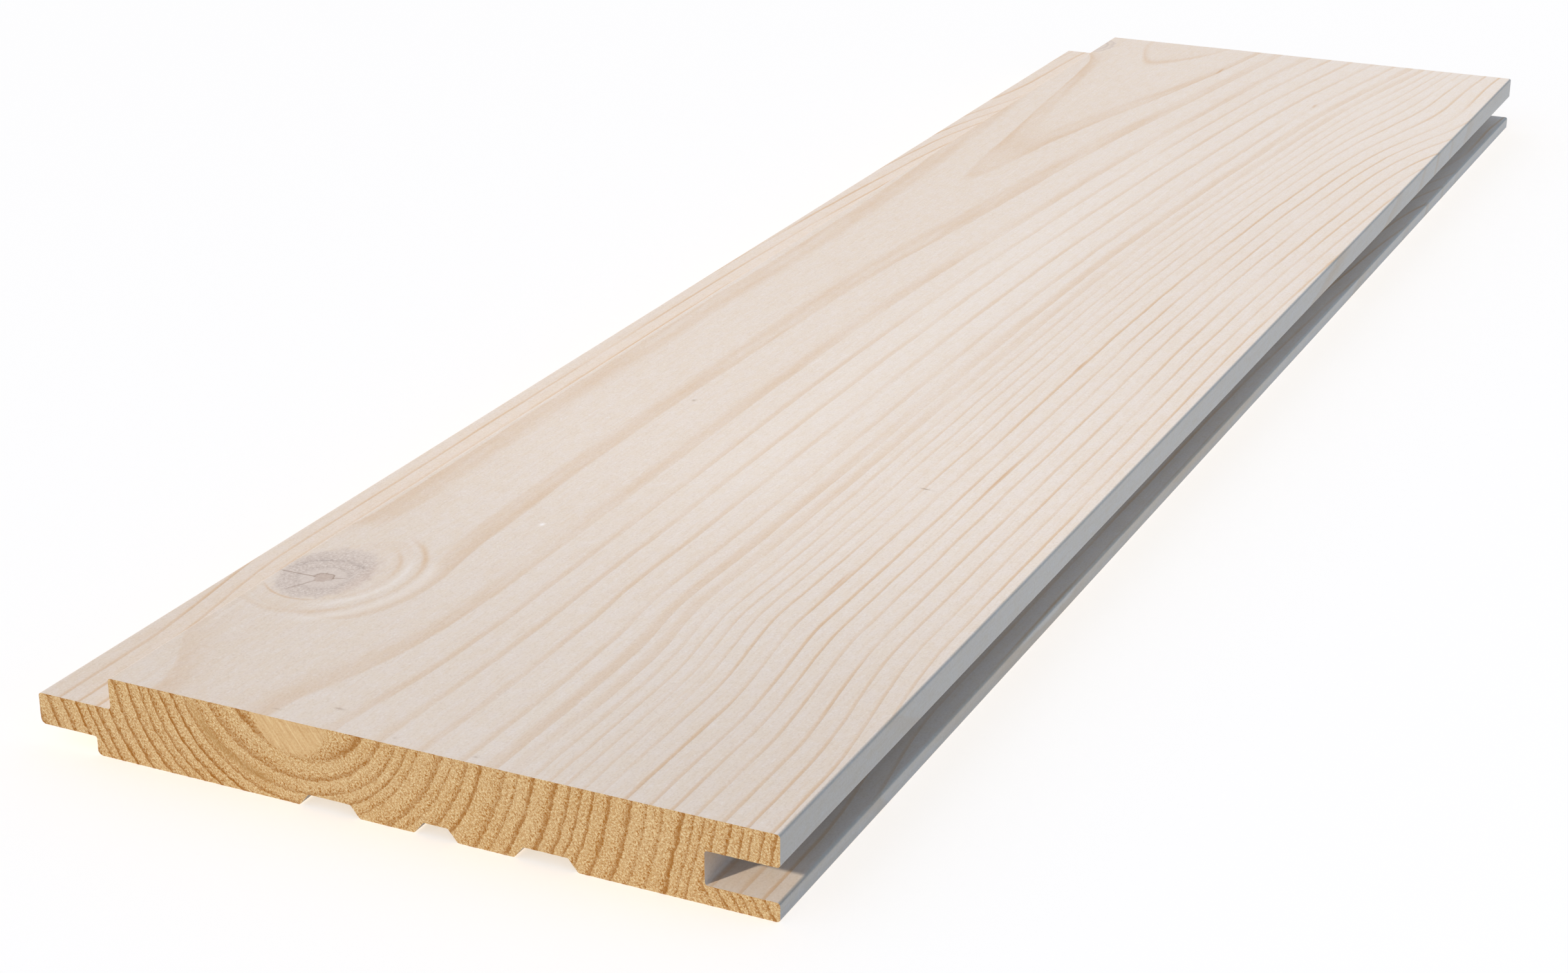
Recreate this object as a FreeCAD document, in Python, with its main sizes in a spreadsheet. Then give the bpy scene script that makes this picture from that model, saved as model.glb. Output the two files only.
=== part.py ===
"""Tongue and groove panel board with an open shadow joint, planed from one length of pine.

Frame: X runs across the board from the tongue (-X) to the groove (+X), Y along its length, Z from
the back face up to the show face. The origin is the middle of the board on its back face.
Millimetres and degrees throughout.
"""

import FreeCAD
import Part
import Sketcher
import os

PARTS_FOLDER = "parts"
SHEET = "Dimensions"

# Each driving dimension: its alias in the sheet, its value and what it measures.
DRIVING_DIMENSIONS = (
    ("board_length", 434.0, "sawn end to sawn end"),
    ("overall_width", 120.0, "tongue tip to groove lips"),
    ("thickness", 13.0, "back face to show face"),
    ("tongue_length", 10.0, "lower shoulder to tongue tip"),
    ("tongue_thickness", 5.0, "underside to top of the tongue"),
    ("tongue_height", 3.0, "back face to the tongue's underside"),
    ("shadow_gap", 3.0, "open joint on the show face, the set-back of the upper shoulder"),
    ("fit_clearance", 0.1, "groove wall to tongue face, on each side"),
    ("tip_clearance", 1.0, "groove root to tongue tip in a closed joint"),
    ("relief_depth", 1.9, "depth of the relief channels in the back face"),
    ("relief_flank", 39.0, "slope of a channel's flanks from the vertical"),
    ("relief_pitch", 17.4, "middle to middle of neighbouring channels"),
    ("relief_offset", 7.5, "board's centre line to the middle channel, towards the groove"),
    ("middle_relief_width", 7.0, "mouth of the middle channel"),
    ("outer_relief_width", 10.0, "mouth of each outer channel"),
    ("arris_radius", 0.5, "eased arrises of the faces, the lips and the tongue's upper edge"),
    ("lead_radius", 0.9, "rounder lower edge of the tongue and back arris of its shoulder"),
    ("root_radius", 0.45, "cutter's corner at the shoulders, the groove root and the channel floors"),
)

# Places across the section, from the tongue tip.
TONGUE_TIP = "0"
UPPER_SHOULDER = f"{SHEET}.tongue_length + {SHEET}.shadow_gap"
LOWER_SHOULDER = f"{SHEET}.tongue_length"
GROOVE_ROOT = f"{SHEET}.overall_width - {SHEET}.tongue_length - {SHEET}.tip_clearance"
LIPS = f"{SHEET}.overall_width"

# Places up the section, from the back face.
BACK_FACE = "0"
TONGUE_UNDERSIDE = f"{SHEET}.tongue_height"
TONGUE_TOP = f"{SHEET}.tongue_height + {SHEET}.tongue_thickness"
GROOVE_FLOOR = f"{SHEET}.tongue_height - {SHEET}.fit_clearance"
GROOVE_ROOF = f"{SHEET}.tongue_height + {SHEET}.tongue_thickness + {SHEET}.fit_clearance"
SHOW_FACE = f"{SHEET}.thickness"
RELIEF_FLOOR = f"{SHEET}.relief_depth"

# Relief channels in the back face: the middle of each across the section and the width of its mouth.
RELIEF_MIDDLE = f"{SHEET}.overall_width / 2 + {SHEET}.relief_offset"
FLANK_RUN = f"{SHEET}.relief_depth * tan({SHEET}.relief_flank)"
RELIEF_CHANNELS = {
    "tongue_side": (f"{RELIEF_MIDDLE} - {SHEET}.relief_pitch", f"{SHEET}.outer_relief_width"),
    "middle": (RELIEF_MIDDLE, f"{SHEET}.middle_relief_width"),
    "groove_side": (f"{RELIEF_MIDDLE} + {SHEET}.relief_pitch", f"{SHEET}.outer_relief_width"),
}


def mouth_sides(middle, width):
    """Where a relief channel's two flanks meet the back face, across the section."""
    return f"{middle} - {width} / 2", f"{middle} + {width} / 2"


def floor_sides(middle, width):
    """Where a relief channel's two flanks meet its floor, across the section."""
    return f"{middle} - {width} / 2 + {FLANK_RUN}", f"{middle} + {width} / 2 - {FLANK_RUN}"


# Arrises along the board, each a place across the section and up it, by the radius that eases them.
EASED_ARRISES = {
    "arris_radius": (
        (UPPER_SHOULDER, SHOW_FACE),
        (LIPS, SHOW_FACE),
        (LIPS, GROOVE_ROOF),
        (LIPS, GROOVE_FLOOR),
        (LIPS, BACK_FACE),
        (TONGUE_TIP, TONGUE_TOP),
        *((side, BACK_FACE) for channel in RELIEF_CHANNELS.values() for side in mouth_sides(*channel)),
    ),
    "lead_radius": (
        (TONGUE_TIP, TONGUE_UNDERSIDE),
        (LOWER_SHOULDER, BACK_FACE),
    ),
    "root_radius": (
        (UPPER_SHOULDER, TONGUE_TOP),
        (LOWER_SHOULDER, TONGUE_UNDERSIDE),
        (GROOVE_ROOT, GROOVE_ROOF),
        (GROOVE_ROOT, GROOVE_FLOOR),
        *((side, RELIEF_FLOOR) for channel in RELIEF_CHANNELS.values() for side in floor_sides(*channel)),
    ),
}
EDGE_TOLERANCE = 1e-4


def add_sheet(doc):
    """The spreadsheet of driving dimensions, one row for each with its alias, value and meaning."""
    sheet = doc.addObject("Spreadsheet::Sheet", SHEET)
    for row, (alias, value, meaning) in enumerate(DRIVING_DIMENSIONS, start=1):
        sheet.set(f"A{row}", alias)
        sheet.set(f"B{row}", str(value))
        sheet.set(f"C{row}", meaning)
        sheet.setAlias(f"B{row}", alias)
    doc.recompute()
    return sheet


def add_section_sketch(body, name):
    """An empty sketch across the board, with its origin at the tongue tip's line on the back face."""
    sketch = body.newObject("Sketcher::SketchObject", name)
    across = next(plane for plane in body.Origin.OriginFeatures if plane.Role == "XZ_Plane")
    sketch.AttachmentSupport = [(across, "")]
    sketch.MapMode = "FlatFace"
    sketch.setExpression("AttachmentOffset.Base.x", f"-{SHEET}.overall_width / 2")
    return sketch


def sketch_origin():
    """Sketcher's reference to the origin of a sketch."""
    return -1, 1


def start_of(line):
    """Sketcher's reference to the first point of a line."""
    return line, 1


def end_of(line):
    """Sketcher's reference to the last point of a line."""
    return line, 2


def bind(sketch, constraint, label, expression):
    """Adds a dimensional constraint and drives it from the sheet."""
    index = sketch.addConstraint(constraint)
    sketch.renameConstraint(index, label)
    sketch.setExpression(f"Constraints.{label}", expression)


def place_across(sketch, point, label, expression):
    """Holds a point at this distance across the section, or on the vertical axis at the tongue tip."""
    if expression == TONGUE_TIP:
        sketch.addConstraint(Sketcher.Constraint("PointOnObject", *point, -2))
        return
    distance = float(sketch.evalExpression(expression))
    bind(sketch, Sketcher.Constraint("DistanceX", *sketch_origin(), *point, distance), label, expression)


def place_up(sketch, point, label, expression):
    """Holds a point at this distance up the section, or on the horizontal axis at the back face."""
    if expression == BACK_FACE:
        sketch.addConstraint(Sketcher.Constraint("PointOnObject", *point, -1))
        return
    distance = float(sketch.evalExpression(expression))
    bind(sketch, Sketcher.Constraint("DistanceY", *sketch_origin(), *point, distance), label, expression)


def add_outline(sketch, corners):
    """A closed outline of straight lines through the corners, given as (across, up) in millimetres."""
    points = [FreeCAD.Vector(across, up, 0) for across, up in corners]
    lines = [
        sketch.addGeometry(Part.LineSegment(start, end), False)
        for start, end in zip(points, points[1:] + points[:1])
    ]
    for line, following in zip(lines, lines[1:] + lines[:1]):
        sketch.addConstraint(Sketcher.Constraint("Coincident", *end_of(line), *start_of(following)))
    return lines


def add_rectangle(sketch, left, right, bottom, top):
    """A rectangle whose sides stand at these expressions from the sketch origin."""
    x0, x1, z0, z1 = (float(sketch.evalExpression(side)) for side in (left, right, bottom, top))
    lower, outer, upper, inner = add_outline(sketch, ((x0, z0), (x1, z0), (x1, z1), (x0, z1)))
    for line in (lower, upper):
        sketch.addConstraint(Sketcher.Constraint("Horizontal", line))
    for line in (outer, inner):
        sketch.addConstraint(Sketcher.Constraint("Vertical", line))
    place_across(sketch, start_of(lower), "left", left)
    place_up(sketch, start_of(lower), "bottom", bottom)
    place_across(sketch, start_of(upper), "right", right)
    place_up(sketch, start_of(upper), "top", top)


def add_channel(sketch, name, middle, width):
    """A relief channel open to the back face: a flat floor between two equal flanks."""
    mouth_left, mouth_right = mouth_sides(middle, width)
    floor_left, floor_right = floor_sides(middle, width)
    corners = {
        f"{name}_mouth_left": (mouth_left, BACK_FACE),
        f"{name}_mouth_right": (mouth_right, BACK_FACE),
        f"{name}_floor_right": (floor_right, RELIEF_FLOOR),
        f"{name}_floor_left": (floor_left, RELIEF_FLOOR),
    }
    lines = add_outline(
        sketch,
        [[float(sketch.evalExpression(place)) for place in corner] for corner in corners.values()],
    )
    for line, (label, (across, up)) in zip(lines, corners.items()):
        place_across(sketch, start_of(line), label, across)
        place_up(sketch, start_of(line), f"{label}_height", up)


def add_blank(body):
    """The planed blank: the overall width and thickness, padded half each way along the board."""
    sketch = add_section_sketch(body, "blank_section")
    add_rectangle(sketch, TONGUE_TIP, LIPS, BACK_FACE, SHOW_FACE)
    blank = body.newObject("PartDesign::Pad", "blank")
    blank.Profile = sketch
    blank.SideType = "Symmetric"
    blank.setExpression("Length", f"{SHEET}.board_length")
    body.Document.recompute()


def cut_along(body, name, draw):
    """Cuts the outline that draw puts in a section sketch out of the board, from end to end."""
    before = body.Shape.Volume
    sketch = add_section_sketch(body, f"{name}_section")
    draw(sketch)
    cut = body.newObject("PartDesign::Pocket", name)
    cut.Profile = sketch
    cut.SideType = "Symmetric"
    cut.Type = "ThroughAll"
    body.Document.recompute()
    if not 0 < body.Shape.Volume < before:
        raise RuntimeError(f"{name} cut nothing out of the board")


def draw_relief_channels(sketch):
    """Three channels in the back face, the middle one narrower than its neighbours."""
    for name, (middle, width) in RELIEF_CHANNELS.items():
        add_channel(sketch, name, middle, width)


def edges_along(body, places):
    """Names of the edges that run along the board at these places of the section."""
    half_width = body.evalExpression(f"{SHEET}.overall_width / 2")
    names = []
    for across, up in places:
        x = body.evalExpression(across) - half_width
        z = body.evalExpression(up)
        found = [
            f"Edge{number}"
            for number, edge in enumerate(body.Shape.Edges, start=1)
            if all(abs(end.X - x) + abs(end.Z - z) < EDGE_TOLERANCE for end in edge.Vertexes)
        ]
        if len(found) != 1:
            raise RuntimeError(f"{len(found)} edges run along the board at x {x}, z {z}")
        names += found
    return names


def ease(body, radius, places):
    """Rounds the edges at these places with one radius of the sheet."""
    base = body.Tip
    names = edges_along(body, places)
    fillet = body.newObject("PartDesign::Fillet", f"{radius}_edges")
    fillet.Base = (base, names)
    fillet.setExpression("Radius", f"{SHEET}.{radius}")
    body.Document.recompute()


def build_board(doc):
    """The board: a planed blank, then the moulder's cuts along it, then its eased arrises."""
    body = doc.addObject("PartDesign::Body", "Board")
    body.Label = "board"
    add_blank(body)
    cut_along(
        body,
        "upper_rebate",
        lambda sketch: add_rectangle(sketch, TONGUE_TIP, UPPER_SHOULDER, TONGUE_TOP, SHOW_FACE),
    )
    cut_along(
        body,
        "lower_rebate",
        lambda sketch: add_rectangle(sketch, TONGUE_TIP, LOWER_SHOULDER, BACK_FACE, TONGUE_UNDERSIDE),
    )
    cut_along(
        body,
        "groove",
        lambda sketch: add_rectangle(sketch, GROOVE_ROOT, LIPS, GROOVE_FLOOR, GROOVE_ROOF),
    )
    cut_along(body, "relief_channels", draw_relief_channels)
    for radius, places in EASED_ARRISES.items():
        ease(body, radius, places)
    return body


def check(doc, pieces):
    """Stops the build if an object of the document failed or a piece isn't one sound solid."""
    for thing in doc.Objects:
        if {"Invalid", "Error"} & set(thing.State):
            raise RuntimeError(f"{thing.Label} failed: {thing.State}")
    for piece in pieces:
        shape = piece.Shape
        if shape.isNull() or not shape.isValid() or len(shape.Solids) != 1:
            raise RuntimeError(f"{piece.Label} isn't one valid solid")


def main():
    """Builds the document and writes each piece to its own STEP file."""
    doc = FreeCAD.newDocument("tongue_and_groove_board")
    add_sheet(doc)
    pieces = [build_board(doc)]
    check(doc, pieces)
    os.makedirs(PARTS_FOLDER, exist_ok=True)
    for piece in pieces:
        piece.Shape.exportStep(os.path.join(PARTS_FOLDER, f"{piece.Label}.step"))
        box = piece.Shape.BoundBox
        print(f"{piece.Label}: {box.XLength:.2f} x {box.YLength:.2f} x {box.ZLength:.2f} mm,"
              f" {piece.Shape.Volume / 1000:.1f} cm3")


main()
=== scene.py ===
"""Dresses the tongue and groove board: planed pine under a thin white glaze, with both sawn ends left bare.

Meshes are in metres, in the row's frame. The figure of the wood is written in millimetres, as a joiner marks
it out: across the show face from its middle (the groove is on the plus side), along it from the near end, and
up from the back.
"""

import logging
import math
from collections.abc import Iterable
from dataclasses import dataclass, field
from enum import Enum

import bmesh
import bpy
from mathutils import Matrix, Vector, noise


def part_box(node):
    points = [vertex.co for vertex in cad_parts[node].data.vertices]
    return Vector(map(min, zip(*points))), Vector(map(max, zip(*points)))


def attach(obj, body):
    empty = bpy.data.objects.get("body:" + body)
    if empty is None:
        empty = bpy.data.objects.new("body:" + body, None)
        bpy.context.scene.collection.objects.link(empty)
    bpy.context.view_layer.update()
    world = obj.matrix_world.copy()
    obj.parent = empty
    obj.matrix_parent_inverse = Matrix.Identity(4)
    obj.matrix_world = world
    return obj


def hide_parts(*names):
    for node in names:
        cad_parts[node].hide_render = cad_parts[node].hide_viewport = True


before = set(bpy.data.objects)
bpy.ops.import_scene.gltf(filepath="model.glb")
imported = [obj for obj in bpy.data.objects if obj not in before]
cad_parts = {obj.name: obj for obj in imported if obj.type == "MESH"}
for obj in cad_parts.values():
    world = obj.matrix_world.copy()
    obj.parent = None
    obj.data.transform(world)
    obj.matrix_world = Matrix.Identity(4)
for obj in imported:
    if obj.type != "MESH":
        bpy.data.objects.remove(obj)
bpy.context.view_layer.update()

LOG = logging.getLogger("tongue_and_groove_board")
MM = 0.001
Colour = tuple[float, float, float]
Sizes = tuple[float, float, float]
Paint = Colour | bpy.types.NodeSocket
FACING = 0.9


class End(Enum):
    """The two sawn ends of the board, by the way that each one faces along the length."""

    NEAR = -1
    FAR = 1


class Slot(Enum):
    """The board's material slots, in their order on the mesh."""

    GLAZED = 0
    SAWN = 1


class Coat(Enum):
    """The ways that one colour goes over another."""

    LAY = "MIX"
    TINT = "MULTIPLY"


class Mark(Enum):
    """The kinds of small mark, each with its colour."""

    BARK = (0.36, 0.27, 0.20)
    RESIN = (0.60, 0.36, 0.18)
    CHIP = (0.96, 0.95, 0.98)


def clamp(value: float) -> float:
    """The value, kept between none and one."""
    return min(1.0, max(0.0, value))


@dataclass(frozen=True)
class Signal:
    """A number that a finish's nodes work out at each point of the surface.

    Attributes:
        graph: the nodes.
        socket: the output that gives it.
    """

    graph: "Graph"
    socket: bpy.types.NodeSocket

    def __add__(self, other: "Value") -> "Signal":
        """The sum of the two."""
        return self.graph.math("ADD", self, other)

    def __sub__(self, other: "Value") -> "Signal":
        """What is left after taking the other away."""
        return self.graph.math("SUBTRACT", self, other)

    def __rsub__(self, other: float) -> "Signal":
        """What is left of the other after taking this away."""
        return self.graph.math("SUBTRACT", other, self)

    def __mul__(self, other: "Value") -> "Signal":
        """The product of the two."""
        return self.graph.math("MULTIPLY", self, other)

    def __truediv__(self, other: "Value") -> "Signal":
        """This divided by the other."""
        return self.graph.math("DIVIDE", self, other)

    __radd__ = __add__
    __rmul__ = __mul__

    def power(self, exponent: float) -> "Signal":
        """This raised to a power."""
        return self.graph.math("POWER", self, exponent)

    def at_least(self, other: "Value") -> "Signal":
        """The larger of the two."""
        return self.graph.math("MAXIMUM", self, other)

    def above(self, limit: float) -> "Signal":
        """One where this is above the limit, and none elsewhere."""
        return self.graph.math("GREATER_THAN", self, limit)

    def below(self, limit: float) -> "Signal":
        """One where this is below the limit, and none elsewhere."""
        return self.graph.math("LESS_THAN", self, limit)

    def size(self) -> "Signal":
        """This without its sign."""
        return self.graph.math("ABSOLUTE", self)

    def fraction(self) -> "Signal":
        """What stands after the point."""
        return self.graph.math("FRACT", self)

    def rise(self, start: "Value", end: "Value") -> "Signal":
        """Goes smoothly from none at the start to one at the end.

        Args:
            start: where the rise begins.
            end: where it is complete.

        Returns:
            The eased step, kept between none and one.
        """
        step = self.graph.node("ShaderNodeMapRange", interpolation_type="SMOOTHSTEP")
        for name, value in (("Value", self), ("From Min", start), ("From Max", end)):
            self.graph.feed(step.inputs[name], value)
        return Signal(self.graph, step.outputs["Result"])


Value = Signal | float
Point = tuple[Signal, Signal, Signal]


class Graph:
    """A material's nodes, with the few kinds of node that the finishes are made from."""

    def __init__(self, name: str) -> None:
        """Starts a material with one Principled surface.

        Args:
            name: the material's name.
        """
        self.material = bpy.data.materials.new(name)
        self.material.use_nodes = True
        self.tree = self.material.node_tree
        self.surface = self.tree.nodes["Principled BSDF"]

    def node(self, kind: str, **settings: object) -> bpy.types.Node:
        """Adds a node.

        Args:
            kind: the node's Blender type.
            settings: the node's own properties.

        Returns:
            The new node.
        """
        made = self.tree.nodes.new(kind)
        for name, value in settings.items():
            setattr(made, name, value)
        return made

    def feed(self, socket: bpy.types.NodeSocket, value: Value | Paint) -> None:
        """Links a signal or a socket to an input, or sets a plain number or colour on it.

        Args:
            socket: the input.
            value: what it gets.
        """
        if isinstance(value, Signal):
            value = value.socket
        if isinstance(value, bpy.types.NodeSocket):
            self.tree.links.new(value, socket)
        else:
            socket.default_value = (*value, 1.0) if isinstance(value, tuple) else value

    def math(self, operation: str, *values: Value) -> Signal:
        """Works one sum on signals and numbers.

        Args:
            operation: the Math node's operation.
            values: what it works on, in order.

        Returns:
            The result.
        """
        made = self.node("ShaderNodeMath", operation=operation)
        for socket, value in zip(made.inputs, values):
            self.feed(socket, value)
        return Signal(self, made.outputs[0])

    def place(self) -> Point:
        """Finds the point on the piece.

        Returns:
            Its place in millimetres: across, along from the board's middle, and up.
        """
        coordinates = self.node("ShaderNodeTexCoord")
        split = self.node("ShaderNodeSeparateXYZ")
        self.feed(split.inputs[0], coordinates.outputs["Object"])
        across, along, height = (Signal(self, socket) / MM for socket in split.outputs)
        return across, along, height

    def attribute(self, name: str) -> Signal:
        """A number stored on the mesh."""
        return Signal(self, self.node("ShaderNodeAttribute", attribute_name=name).outputs["Fac"])

    def far(self, along: Signal, across: Signal) -> Signal:
        """How far a step along the face and one across it reach together."""
        return self.math("SQRT", along.power(2.0) + across.power(2.0))

    def hill(self, *steps: tuple[Signal, float]) -> Signal:
        """A smooth round hill, one at its top.

        Args:
            steps: distances from the top, each with the distance at which the hill has fallen to a third.

        Returns:
            The hill's height.
        """
        total: Value = 0.0
        for away, reach in steps:
            total = (away / reach).power(2.0) + total
        return self.math("EXPONENT", total * -1.0)

    def mottle(self, point: Iterable[Value], sizes: Sizes, detail: float = 2.0, rough: float = 0.5) -> Signal:
        """Cloudy noise.

        Args:
            point: the place, as three numbers.
            sizes: how large the clouds are along each of them.
            detail: how many finer layers are added.
            rough: how strong the finer layers are.

        Returns:
            A number round one half.
        """
        join = self.node("ShaderNodeCombineXYZ")
        for socket, value, size in zip(join.inputs, point, sizes):
            self.feed(socket, value / size)
        cloud = self.node("ShaderNodeTexNoise", noise_dimensions="3D")
        settings = {"Vector": join.outputs[0], "Scale": 1.0, "Detail": detail, "Roughness": rough}
        for name, value in settings.items():
            self.feed(cloud.inputs[name], value)
        return Signal(self, cloud.outputs[0])

    def blend(self, amount: Value, under: Paint, over: Paint, coat: Coat = Coat.LAY) -> bpy.types.NodeSocket:
        """Lays one colour over another.

        Args:
            amount: how much of the upper colour shows.
            under: the colour below.
            over: the colour on top.
            coat: the way that it goes on.

        Returns:
            The mixed colour.
        """
        made = self.node("ShaderNodeMix", data_type="RGBA", blend_type=coat.value)
        for number, value in ((0, amount), (6, under), (7, over)):
            self.feed(made.inputs[number], value)
        return made.outputs[2]

    def tint(self, amount: Value, under: Paint, by: Paint) -> bpy.types.NodeSocket:
        """Tints a colour by another, by an amount."""
        return self.blend(amount, under, by, Coat.TINT)

    def relief(self, height: Signal, depth: float) -> None:
        """Gives the surface a fine relief.

        Args:
            height: the relief, from none to one.
            depth: its real depth in metres.
        """
        bump = self.node("ShaderNodeBump")
        self.feed(bump.inputs["Height"], height)
        self.feed(bump.inputs["Distance"], depth)
        self.feed(self.surface.inputs["Normal"], bump.outputs["Normal"])

    def gloss(self, roughness: Value, level: float) -> None:
        """Sets how rough the surface is, and how strongly it mirrors."""
        self.feed(self.surface.inputs["Roughness"], roughness)
        self.surface.inputs["Specular IOR Level"].default_value = level


@dataclass(frozen=True)
class LateWood:
    """One dark line of late wood.

    Attributes:
        at: where its sharp side crosses the middle of the show face.
        strength: how dark it is.
        share: how much of its year's growth it fills.
    """

    at: float
    strength: float
    share: float


@dataclass(frozen=True)
class Bend:
    """A place where the lines of the show face swing aside.

    Attributes:
        along: its middle along the face.
        length: how far it reaches along the face.
        across: its middle across the face.
        width: how far it reaches across the face.
        swing: how much growth it adds.
        from_heart: whether its middle across is counted from the heart.
    """

    along: float
    length: float
    across: float
    width: float
    swing: float
    from_heart: bool = False


@dataclass(frozen=True)
class FaceFigure:
    """The grain of the show face: where each year's growth comes to the surface.

    Attributes:
        heart: where the innermost growth lies, which the lines fold round.
        fold: how blunt that fold is.
        lines: the late wood, from the heart outwards.
        bends: where the lines swing aside.
        lowest: the growth at which the first year starts.
        highest: the growth at which the last year ends.
        tongue_shift: how far over the tongue's own figure lies.
        lean: how far the growth leans across for each millimetre down into the board.
    """

    heart: float = -34.2
    fold: float = 6.0
    lines: tuple[LateWood, ...] = (
        LateWood(-40.5, 0.60, 0.09),
        LateWood(-30.3, 0.90, 0.40),
        LateWood(-21.0, 0.54, 0.62),
        LateWood(-10.4, 0.54, 0.24),
        LateWood(-4.4, 0.50, 0.28),
        LateWood(1.3, 0.56, 0.26),
        LateWood(7.0, 0.62, 0.26),
        LateWood(12.6, 0.46, 0.26),
        LateWood(17.1, 0.54, 0.95),
        LateWood(20.0, 0.42, 0.70),
        LateWood(22.3, 0.42, 0.32),
        LateWood(24.6, 0.50, 0.32),
        LateWood(26.9, 0.46, 0.32),
        LateWood(29.3, 0.50, 0.32),
        LateWood(31.8, 0.80, 0.28),
        LateWood(35.3, 1.06, 0.25),
        LateWood(38.8, 1.02, 0.25),
        LateWood(41.8, 0.95, 0.25),
        LateWood(45.0, 0.90, 0.25),
        LateWood(48.8, 1.08, 0.24),
        LateWood(52.0, 0.95, 0.25),
        LateWood(55.1, 0.95, 0.25),
        LateWood(58.2, 1.08, 0.25),
        LateWood(61.2, 0.86, 0.25),
        LateWood(64.4, 0.86, 0.25),
    )
    bends: tuple[Bend, ...] = (
        Bend(0.0, 33.0, 0.0, 22.0, 9.66, from_heart=True),
        Bend(60.0, 14.0, 20.0, 15.0, 0.7),
        Bend(120.0, 60.0, 10.0, 5.0, 1.7, from_heart=True),
        Bend(0.0, 50.0, -12.0, 14.0, -0.9),
        Bend(155.0, 45.0, -6.0, 12.0, 0.8),
        Bend(272.0, 45.0, -18.0, 12.0, -2.0),
        Bend(45.0, 12.0, -39.5, 12.0, -14.0),
        Bend(27.0, 9.0, -2.0, 9.0, 5.0, from_heart=True),
        Bend(424.0, 10.0, -49.0, 10.0, -6.0),
    )
    lowest: float = -52.0
    highest: float = 67.0
    tongue_shift: float = 109.3
    lean: float = 0.2

    def growth(self, graph: Graph, across: Signal, along: Signal) -> Signal:
        """How far out from the heart the growth at a point of the show face lies.

        Args:
            graph: the nodes that work it out.
            across: the point's place across the face.
            along: its place along the face.

        Returns:
            The growth, which is about the place across the face at mid-board.
        """
        # Towards the far end the heart drifts over, and the growth runs out of the face in arches.
        late = ((along - 190.0) / 244.0).at_least(0.0)
        heart = late * 4.0 + graph.hill((along, 25.0)) * 4.5 + self.heart
        away = across - heart
        growth = heart + graph.math("SQRT", away * away + self.fold**2)
        growth -= (graph.hill((away - 18.0, 13.0)) * 9.5 + 18.3) * late * late
        # On the groove's side the lines swerve near both ends.
        growth -= across.at_least(0.0) * (1.0 - along.rise(across * -0.6 + 50.0, 61.0)) * 0.072
        growth -= (across - 33.0).at_least(0.0) * graph.hill((along - 385.0, 34.0)) * 0.28
        growth += graph.hill((along - 383.0, 38.0)) * across.rise(-4.0, 8.0)
        for bend in self.bends:
            aside = (away if bend.from_heart else across) - bend.across
            growth += graph.hill((along - bend.along, bend.length), (aside, bend.width)) * bend.swing
        return growth

    def late_wood(self, graph: Graph, growth: Signal) -> tuple[Signal, Signal]:
        """How dark the late wood is at a point.

        Args:
            graph: the nodes that work it out.
            growth: the growth there.

        Returns:
            The darkness of the line, and how far through its year the point is.
        """
        years = len(self.lines) + 1
        reach = self.highest - self.lowest
        table = graph.node("ShaderNodeValToRGB")
        stops = table.color_ramp.elements
        first, last = self.lines[0], self.lines[-1]
        stops[0].color = (0.0, first.strength, first.share, 1.0)
        stops[1].color = (1.0, last.strength, last.share, 1.0)
        for year, line in enumerate(self.lines, 1):
            stop = stops.new((line.at - self.lowest) / reach)
            stop.color = (year / years, line.strength, line.share, 1.0)
        graph.feed(table.inputs[0], (growth - self.lowest) / reach)
        split = graph.node("ShaderNodeSeparateColor")
        graph.feed(split.inputs[0], table.outputs["Color"])
        count, strength, share = (Signal(graph, socket) for socket in split.outputs)
        through = (count * float(years)).fraction()
        dark = through.rise(1.0 - share, 1.0 - share * 0.4) * (1.0 - through.rise(0.96, 1.0))
        return dark * strength, through


@dataclass(frozen=True)
class Check:
    """One drying crack in the knot.

    Attributes:
        turn: the way it runs from the pith, from the board's length towards the groove, in degrees.
        start: how far from the pith it begins.
        length: how far from the pith it ends.
        width: how wide it is.
        deep: how deep it is.
        dark: how dark it is.
    """

    turn: float
    start: float
    length: float
    width: float
    deep: float
    dark: float

    def count(self, step_along: Value, step_across: Value) -> tuple[Value, Value]:
        """Counts a step from the pith in the crack's own directions.

        Args:
            step_along: the step along the board.
            step_across: the step across it.

        Returns:
            The step along the crack, and the step aside from it.
        """
        ahead, over = math.cos(math.radians(self.turn)), math.sin(math.radians(self.turn))
        return step_along * ahead + step_across * over, step_across * ahead - step_along * over


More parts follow.
